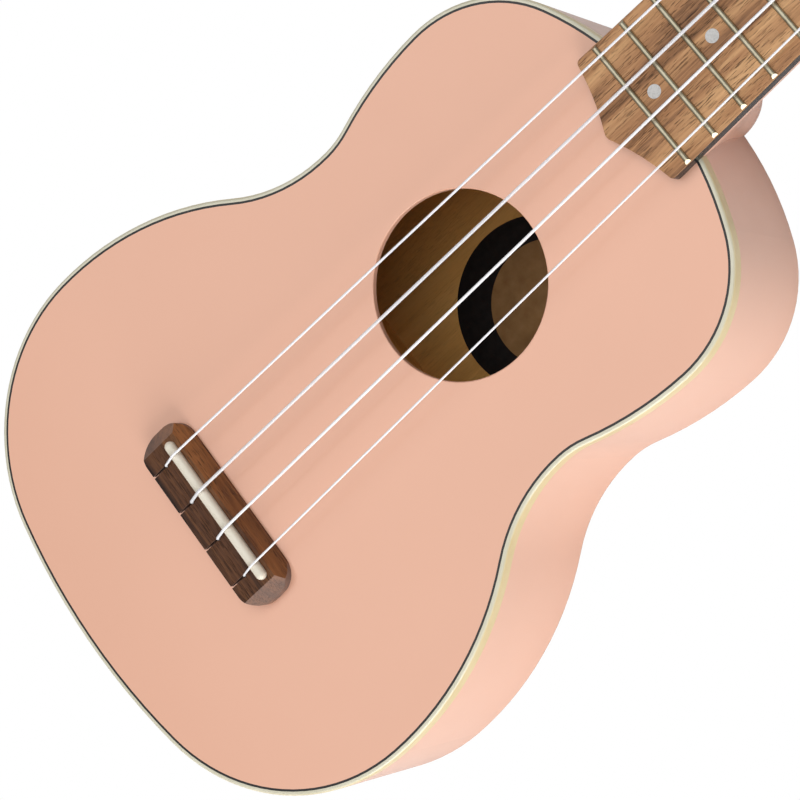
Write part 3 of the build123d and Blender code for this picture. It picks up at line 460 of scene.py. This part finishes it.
coat(["soundboard"], lacquer("top_lacquer", PINK_TOP, SATIN, TOP_COAT, "below"))
coat(["back"], lacquer("back_lacquer", PINK_BODY_LIT, SATIN, BODY_COAT, "above"))
coat(["side_left", "side_right"], lacquer("side_lacquer", PINK_BODY_LIT, SATIN, BODY_COAT, "within"))
coat(["neck"], lacquer("neck_lacquer", PINK_BODY_LIT, SATIN, BODY_COAT))
coat(["top_binding"], binding())
coat(["purfling"], plastic("purfling", linear(14, 13, 13), linear(26, 24, 23)))
coat(["fingerboard"], board_walnut())
coat(["bridge"], bridge_walnut())
coat(["saddle", "nut"], plastic("ivory", linear(226, 217, 198), linear(238, 230, 214), coat_weight=0.2))
coat(["frets"], metal("fret_wire", linear(168, 160, 136), linear(190, 183, 160), drawn_out(0, 0.05)))
coat(["fret_markers"], pearl("pearl_dot", linear(180, 178, 176), linear(204, 202, 200), 420.0))
label_low, label_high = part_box("blank_label")
coat(["blank_label"], label_paper((label_low + label_high) / 2, (label_high.x - label_low.x) / 2))
braces = [f"{plate}_brace_{end}" for plate in ("soundboard", "back") for end in ("upper", "lower")]
linings = [f"lining_{edge}_{side}" for edge in ("top", "back") for side in ("left", "right")]
coat(braces + ["bridge_plate"], bare_wood("brace_wood", 0))
coat(linings + ["neck_dowels"], bare_wood("lining_wood", 1))
coat(["neck_block", "tail_block"], bare_wood("block_wood", 2))

nickel = metal("nickel", linear(196, 194, 188), linear(222, 220, 214))
brass = metal("brass", linear(190, 152, 84), linear(214, 178, 108))
button_pearl = pearl("button_pearl", linear(222, 216, 202), linear(246, 243, 234), 160.0)
coat(["tuner_ferrules", "tuner_plate_screws"], nickel)
for string in STRINGS:
    for part in ("plate", "post", "gear_screw", "worm"):
        coat([f"tuner_{part}_{string}"], nickel)
    coat([f"tuner_gear_{string}"], brass)
    coat([f"tuner_button_{string}"], button_pearl)
    clearness = C_STRING_CLEARNESS if string == "c" else STRING_CLEARNESS
    coat([f"string_{string}", f"string_winding_{string}"], nylon(f"nylon_{string}", clearness))


# ---------------------------------------------------------------------- strings
def rounded(corners, bends):
    """Corners of a route with each inner one eased by its own bend radius."""
    path = [corners[0]]
    for before, corner, after, bend in zip(corners, corners[1:], corners[2:], bends):
        inward = (before - corner).normalized()
        outward = (after - corner).normalized()
        reach = bend * math.tan((math.pi - inward.angle(outward)) / 2)
        start = corner + inward * reach
        end = corner + outward * reach
        for step in range(STEPS_PER_BEND + 1):
            share = step / STEPS_PER_BEND
            path.append(start.lerp(corner, share).lerp(corner.lerp(end, share), share))
    path.append(corners[-1])
    return path


def tube(name, path, radius, sides, body, node):
    """Round cord along a path, as a mesh that rides on a body in place of a CAD node."""
    forward = (path[1] - path[0]).normalized()
    across = forward.orthogonal().normalized()
    corners = []
    for index, point in enumerate(path):
        ahead = path[min(index + 1, len(path) - 1)] - path[max(index - 1, 0)]
        turn = forward.rotation_difference(ahead.normalized())
        across.rotate(turn)
        forward = ahead.normalized()
        over = forward.cross(across)
        for side in range(sides):
            angle = 2 * math.pi * side / sides
            corners.append(point + radius * (math.cos(angle) * across + math.sin(angle) * over))
    faces = [tuple(reversed(range(sides))), tuple(range(len(corners) - sides, len(corners)))]
    for ring in range(len(path) - 1):
        for side in range(sides):
            here = ring * sides + side
            beside = ring * sides + (side + 1) % sides
            faces.append((here, beside, beside + sides, here + sides))
    mesh = bpy.data.meshes.new(name)
    mesh.from_pydata(corners, [], faces)
    mesh.polygons.foreach_set("use_smooth", [len(face) == 4 for face in faces])
    mesh.materials.append(frame["nodes"][node].data.materials[0])
    cord = bpy.data.objects.new(name, mesh)
    bpy.context.collection.objects.link(cord)
    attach(cord, body)
    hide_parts(node)


def post_frame(string):
    """Centre of a post on the headstock's face, and the ways across, along and above it."""
    joint = next(joint for joint in frame["joints"] if joint["name"] == f"post_{string}_turn")
    above = Vector(joint["axis"])
    across = Vector((1, 0, 0))
    return Vector(joint["pos_m"]), across, above.cross(across), above


def string_path(index, string):
    """Route of a string's middle: knot, hole, bridge lip, saddle, nut and the lead to its post."""
    bridge_low, bridge_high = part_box("bridge")
    saddle_low, saddle_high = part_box("saddle")
    nut_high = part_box("nut")[1]
    top_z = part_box("soundboard")[1].z
    diameter = STRING_DIAMETERS[index] * MM
    lift = diameter / 2 + STRING_GAP * MM
    x = (index / 3 - 0.5) * STRING_SPREAD_AT_SADDLE * MM
    nut_x = (index / 3 - 0.5) * STRING_SPREAD_AT_NUT * MM
    knot_z = top_z + KNOT_HEIGHT * MM
    hole_y = bridge_low.y + STRING_HOLE_FROM_REAR * MM
    centre, across, along, above = post_frame(string)
    side = math.copysign(1, centre.x)
    start = centre - across * side * coil_radius(diameter)
    end = start - along * string_end_reach(diameter) + above * first_turn_height(diameter)
    corners = [
        Vector((x, bridge_low.y + KNOT_DIAMETER * MM, knot_z)),
        Vector((x, hole_y, knot_z + KNOT_DIAMETER * MM / 4)),
        Vector((x, hole_y, bridge_high.z + lift)),
        Vector((x, (saddle_low.y + saddle_high.y) / 2, saddle_high.z + lift + SADDLE_GAP * MM)),
        Vector((nut_x, nut_high.y + STRING_GAP * MM, nut_high.z - NUT_SLOT_DEPTH * MM + lift)),
        end,
    ]
    return rounded(corners, [bend * MM for bend in (KNOT_BEND, STRING_BEND, STRING_BEND, STRING_BEND)])


def coil_radius(diameter):
    """Radius of the middle of a string's turns on the waist of its post."""
    return POST_WAIST_DIAMETER * MM / 2 + diameter / 2 + TURN_GAP * MM


def first_turn_height(diameter):
    """Height of the lowest turn's start above the headstock's face."""
    return POST_HOLE_HEIGHT * MM - TURNS_BELOW_HOLE * diameter


def string_end_reach(diameter):
    """Distance along the neck from a post's middle to the string's end, clear of its turns."""
    outer = POST_WAIST_DIAMETER * MM / 2 + diameter
    return math.sqrt(outer**2 - (outer - diameter) ** 2) + END_CLEARANCE * MM


def coil_path(index, string):
    """Middle of a string's turns: a lead that stops LEAD_GAP short of the string, then the helix."""
    centre, across, along, above = post_frame(string)
    diameter = STRING_DIAMETERS[index] * MM
    radius = coil_radius(diameter)
    side = math.copysign(1, centre.x)
    start = math.pi if side > 0 else 0.0
    turns = TURNS_BELOW_HOLE + TURNS_ABOVE_HOLE
    low = first_turn_height(diameter)
    lead = string_end_reach(diameter) - LEAD_GAP * MM
    path = [centre - across * side * radius - along * lead + above * low]
    steps = STEPS_PER_TURN * turns
    for step in range(steps + 1):
        turned = turns * step / steps
        angle = start - side * 2 * math.pi * turned
        outward = math.cos(angle) * across + math.sin(angle) * along
        path.append(centre + radius * outward + above * (low + diameter * turned))
    return path


def string_up():
    """A smooth string on the body and its coil on the post, for each of the strings."""
    for index, string in enumerate(STRINGS):
        radius = STRING_DIAMETERS[index] * MM / 2
        route = string_path(index, string)
        tube(f"smooth_string_{string}", route, radius, STRING_SIDES, "root", f"string_{string}")
        turns = coil_path(index, string)
        turn_radius = radius - TURN_GAP * MM
        post, winding = f"post_{string}", f"string_winding_{string}"
        tube(f"coil_{string}", turns, turn_radius, COIL_SIDES, post, winding)


string_up()


# ------------------------------------------------------------- floor and lights
# Places and sizes in metres, powers in watts.
FLOOR_HALF_WIDTH = 6.0
FLOOR_GAP = 0.0005
FLOOR_GREY = (0.72, 0.72, 0.72, 1.0)
CAMERA_PLACE = Vector((0.224151, 0.257727, 0.705406))
CAMERA_AIM = Vector((0.012917, 0.007517, 0.0575))
CAMERA_RIGHT = Vector((-0.764, 0.645, 0.0))
LENS = 113.166
SENSOR = 36.0
DAYLIGHT = 0.25


def floor():
    """Floor just under the back: pure white to the camera, pale grey to everything else."""
    size = FLOOR_HALF_WIDTH
    mesh = bpy.data.meshes.new("floor")
    corners = [(-size, -size, 0), (size, -size, 0), (size, size, 0), (-size, size, 0)]
    mesh.from_pydata(corners, [], [(0, 1, 2, 3)])
    plane = bpy.data.objects.new("floor", mesh)
    bpy.context.collection.objects.link(plane)
    plane.location.z = cad_low.z - FLOOR_GAP
    finish = Finish("floor", {"Roughness": 0.9, "Specular IOR Level": 0.0})
    finish.shader.inputs["Emission Color"].default_value = (1.0, 1.0, 1.0, 1.0)
    seen = finish.node("ShaderNodeLightPath").outputs["Is Camera Ray"]
    finish.colour(finish.mix(seen, FLOOR_GREY, (0.0, 0.0, 0.0, 1.0)))
    finish.join(seen, finish.shader.inputs["Emission Strength"])
    mesh.materials.append(finish.material)


def softbox(name, place, aim, size, power):
    """Square soft light at a place, turned at another."""
    data = bpy.data.lights.new(name, "AREA")
    data.shape = "SQUARE"
    data.size = size
    data.energy = power
    lamp = bpy.data.objects.new(name, data)
    lamp.location = place
    lamp.rotation_euler = (Vector(aim) - Vector(place)).to_track_quat("-Z", "Y").to_euler()
    bpy.context.collection.objects.link(lamp)


def camera():
    """Long lens above the treble side of the neck, turned so that the neck runs up to the right."""
    back = (CAMERA_PLACE - CAMERA_AIM).normalized()
    right = CAMERA_RIGHT.cross(back).normalized()
    up = back.cross(right)
    data = bpy.data.cameras.new("camera")
    data.lens = LENS
    data.sensor_width = SENSOR
    data.clip_start = 0.01
    data.clip_end = 50.0
    eye = bpy.data.objects.new("camera", data)
    turn = Matrix((right, up, back)).transposed().to_4x4()
    eye.matrix_world = Matrix.Translation(CAMERA_PLACE) @ turn
    bpy.context.collection.objects.link(eye)
    bpy.context.scene.camera = eye


def daylight():
    """Even white light from all round."""
    world = bpy.data.worlds.new("studio")
    world.use_nodes = True
    background = world.node_tree.nodes["Background"]
    background.inputs["Color"].default_value = (1.0, 1.0, 1.0, 1.0)
    background.inputs["Strength"].default_value = DAYLIGHT
    bpy.context.scene.world = world


floor()
softbox("overhead", place=(-0.4, 0.1, 1.85), aim=(0.0, 0.0, 0.06), size=2.4, power=25.0)
softbox("side_fill", place=(1.75, -0.6, 0.5), aim=(0.0, 0.0, 0.03), size=1.4, power=39.0)
camera()
daylight()
bpy.context.scene.view_settings.view_transform = "Standard"
